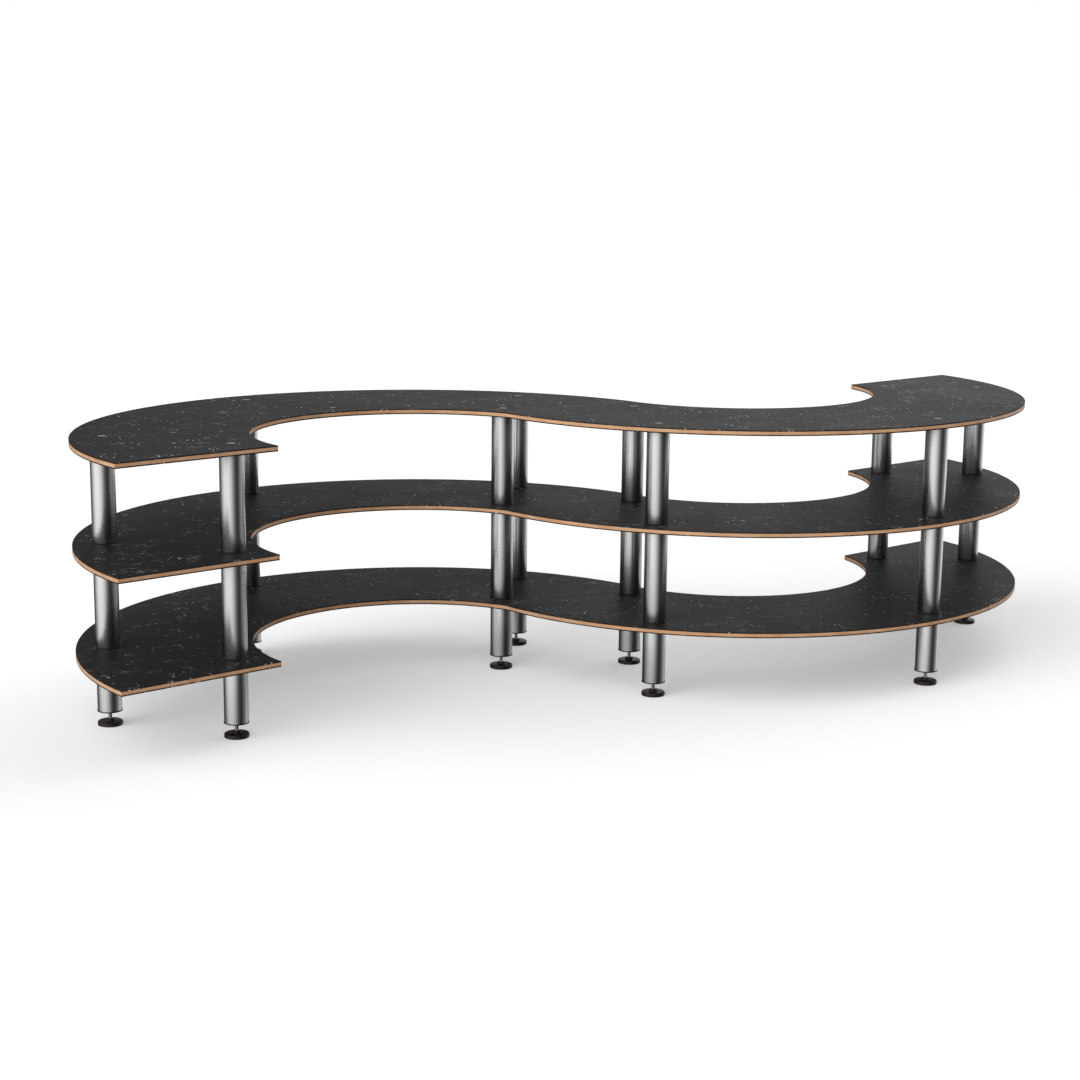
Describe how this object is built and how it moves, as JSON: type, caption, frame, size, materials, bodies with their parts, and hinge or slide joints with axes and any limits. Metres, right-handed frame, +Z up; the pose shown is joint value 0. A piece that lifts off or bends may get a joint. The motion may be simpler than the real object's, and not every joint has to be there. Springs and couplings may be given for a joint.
{
  "type": "buffet serving station",
  "caption": "S-shaped free-standing buffet station: tiered half-ring plywood shelves with dark laminate faces, carried by steel tube posts on screw-adjustable levelling feet.",
  "frame": {"origin": "middle of the plan's box, on the floor under the feet", "axes": "+X along the length of the S from the left module to the right one, +Y to the left module's outer curve, +Z up"},
  "size_m": [3.6372, 1.9468, 0.9],
  "materials": {
    "plywood": "clear satin lacquer on bare plywood edges",
    "laminate": "satin high-pressure laminate, near black with fine pale flecks",
    "tube_steel": "brushed stainless steel",
    "rim_plastic": "moulded satin brown-black",
    "pad_plastic": "moulded satin brown-black",
    "dark_steel": "dull dark coating on steel screw heads",
    "bright_steel": "bright zinc-plated steel"
  },
  "bodies": {
    "frame": {"shelf_core_left_lower": "plywood", "shelf_core_left_middle": "plywood", "shelf_core_left_upper": "plywood", "shelf_core_right_lower": "plywood", "shelf_core_right_middle": "plywood", "shelf_core_right_upper": "plywood", "shelf_laminate_left_lower": "laminate", "shelf_laminate_left_middle": "laminate", "shelf_laminate_left_upper": "laminate", "shelf_laminate_right_lower": "laminate", "shelf_laminate_right_middle": "laminate", "shelf_laminate_right_upper": "laminate", "leg_tube_01": "tube_steel", "leg_tube_02": "tube_steel", "leg_tube_03": "tube_steel", "leg_tube_04": "tube_steel", "leg_tube_05": "tube_steel", "leg_tube_06": "tube_steel", "leg_tube_07": "tube_steel", "leg_tube_08": "tube_steel", "leg_tube_09": "tube_steel", "leg_tube_10": "tube_steel", "post_tubes_01": "tube_steel", "post_tubes_02": "tube_steel", "post_tubes_03": "tube_steel", "post_tubes_04": "tube_steel", "post_tubes_05": "tube_steel", "post_tubes_06": "tube_steel", "post_tubes_07": "tube_steel", "post_tubes_08": "tube_steel", "post_tubes_09": "tube_steel", "post_tubes_10": "tube_steel", "leg_end_caps": "rim_plastic", "tube_base_rims": "rim_plastic", "tube_top_plugs": "rim_plastic", "joining_studs": "bright_steel", "top_screws": "dark_steel", "seam_plates": "bright_steel", "seam_screws": "bright_steel"},
    "pad_01": {"foot_pad_01": "pad_plastic"},
    "stem_01": {"foot_stem_01": "bright_steel"},
    "pad_02": {"foot_pad_02": "pad_plastic"},
    "stem_02": {"foot_stem_02": "bright_steel"},
    "pad_03": {"foot_pad_03": "pad_plastic"},
    "stem_03": {"foot_stem_03": "bright_steel"},
    "pad_04": {"foot_pad_04": "pad_plastic"},
    "stem_04": {"foot_stem_04": "bright_steel"},
    "pad_05": {"foot_pad_05": "pad_plastic"},
    "stem_05": {"foot_stem_05": "bright_steel"},
    "pad_06": {"foot_pad_06": "pad_plastic"},
    "stem_06": {"foot_stem_06": "bright_steel"},
    "pad_07": {"foot_pad_07": "pad_plastic"},
    "stem_07": {"foot_stem_07": "bright_steel"},
    "pad_08": {"foot_pad_08": "pad_plastic"},
    "stem_08": {"foot_stem_08": "bright_steel"},
    "pad_09": {"foot_pad_09": "pad_plastic"},
    "stem_09": {"foot_stem_09": "bright_steel"},
    "pad_10": {"foot_pad_10": "pad_plastic"},
    "stem_10": {"foot_stem_10": "bright_steel"}
  },
  "joints": [
    {"name": "level_01", "type": "slide", "parent": "frame", "child": "pad_01", "axis": [0, 0, -1], "range_m": [-0.02, 0.025]},
    {"name": "turn_01", "type": "hinge", "parent": "pad_01", "child": "stem_01", "pos_m": [-1.59146, 0.40431, 0.011], "axis": [0, 0, -1], "range_deg": [-4116, 5144]},
    {"name": "level_02", "type": "slide", "parent": "frame", "child": "pad_02", "axis": [0, 0, -1], "range_m": [-0.02, 0.025]},
    {"name": "turn_02", "type": "hinge", "parent": "pad_02", "child": "stem_02", "pos_m": [-0.77197, 0.87649, 0.011], "axis": [0, 0, -1], "range_deg": [-4116, 5144]},
    {"name": "level_03", "type": "slide", "parent": "frame", "child": "pad_03", "axis": [0, 0, -1], "range_m": [-0.02, 0.025]},
    {"name": "turn_03", "type": "hinge", "parent": "pad_03", "child": "stem_03", "pos_m": [0.05333, 0.40575, 0.011], "axis": [0, 0, -1], "range_deg": [-4116, 5144]},
    {"name": "level_04", "type": "slide", "parent": "frame", "child": "pad_04", "axis": [0, 0, -1], "range_m": [-0.02, 0.025]},
    {"name": "turn_04", "type": "hinge", "parent": "pad_04", "child": "stem_04", "pos_m": [-1.36164, 0.0465, 0.011], "axis": [0, 0, -1], "range_deg": [-4116, 5144]},
    {"name": "level_05", "type": "slide", "parent": "frame", "child": "pad_05", "axis": [0, 0, -1], "range_m": [-0.02, 0.025]},
    {"name": "turn_05", "type": "hinge", "parent": "pad_05", "child": "stem_05", "pos_m": [-0.204, 0.1815, 0.011], "axis": [0, 0, -1], "range_deg": [-4116, 5144]},
    {"name": "level_06", "type": "slide", "parent": "frame", "child": "pad_06", "axis": [0, 0, -1], "range_m": [-0.02, 0.025]},
    {"name": "turn_06", "type": "hinge", "parent": "pad_06", "child": "stem_06", "pos_m": [-0.04282, -0.40431, 0.011], "axis": [0, 0, -1], "range_deg": [-4116, 5144]},
    {"name": "level_07", "type": "slide", "parent": "frame", "child": "pad_07", "axis": [0, 0, -1], "range_m": [-0.02, 0.025]},
    {"name": "turn_07", "type": "hinge", "parent": "pad_07", "child": "stem_07", "pos_m": [0.77667, -0.87649, 0.011], "axis": [0, 0, -1], "range_deg": [-4116, 5144]},
    {"name": "level_08", "type": "slide", "parent": "frame", "child": "pad_08", "axis": [0, 0, -1], "range_m": [-0.02, 0.025]},
    {"name": "turn_08", "type": "hinge", "parent": "pad_08", "child": "stem_08", "pos_m": [1.60198, -0.40575, 0.011], "axis": [0, 0, -1], "range_deg": [-4116, 5144]},
    {"name": "level_09", "type": "slide", "parent": "frame", "child": "pad_09", "axis": [0, 0, -1], "range_m": [-0.02, 0.025]},
    {"name": "turn_09", "type": "hinge", "parent": "pad_09", "child": "stem_09", "pos_m": [0.187, -0.0465, 0.011], "axis": [0, 0, -1], "range_deg": [-4116, 5144]},
    {"name": "level_10", "type": "slide", "parent": "frame", "child": "pad_10", "axis": [0, 0, -1], "range_m": [-0.02, 0.025]},
    {"name": "turn_10", "type": "hinge", "parent": "pad_10", "child": "stem_10", "pos_m": [1.34465, -0.1815, 0.011], "axis": [0, 0, -1], "range_deg": [-4116, 5144]}
  ],
  "couplings": [
    {"joint": "turn_01", "follows": "level_01", "rad_per_m": 3590.4},
    {"joint": "turn_02", "follows": "level_02", "rad_per_m": 3590.4},
    {"joint": "turn_03", "follows": "level_03", "rad_per_m": 3590.4},
    {"joint": "turn_04", "follows": "level_04", "rad_per_m": 3590.4},
    {"joint": "turn_05", "follows": "level_05", "rad_per_m": 3590.4},
    {"joint": "turn_06", "follows": "level_06", "rad_per_m": 3590.4},
    {"joint": "turn_07", "follows": "level_07", "rad_per_m": 3590.4},
    {"joint": "turn_08", "follows": "level_08", "rad_per_m": 3590.4},
    {"joint": "turn_09", "follows": "level_09", "rad_per_m": 3590.4},
    {"joint": "turn_10", "follows": "level_10", "rad_per_m": 3590.4}
  ]
}
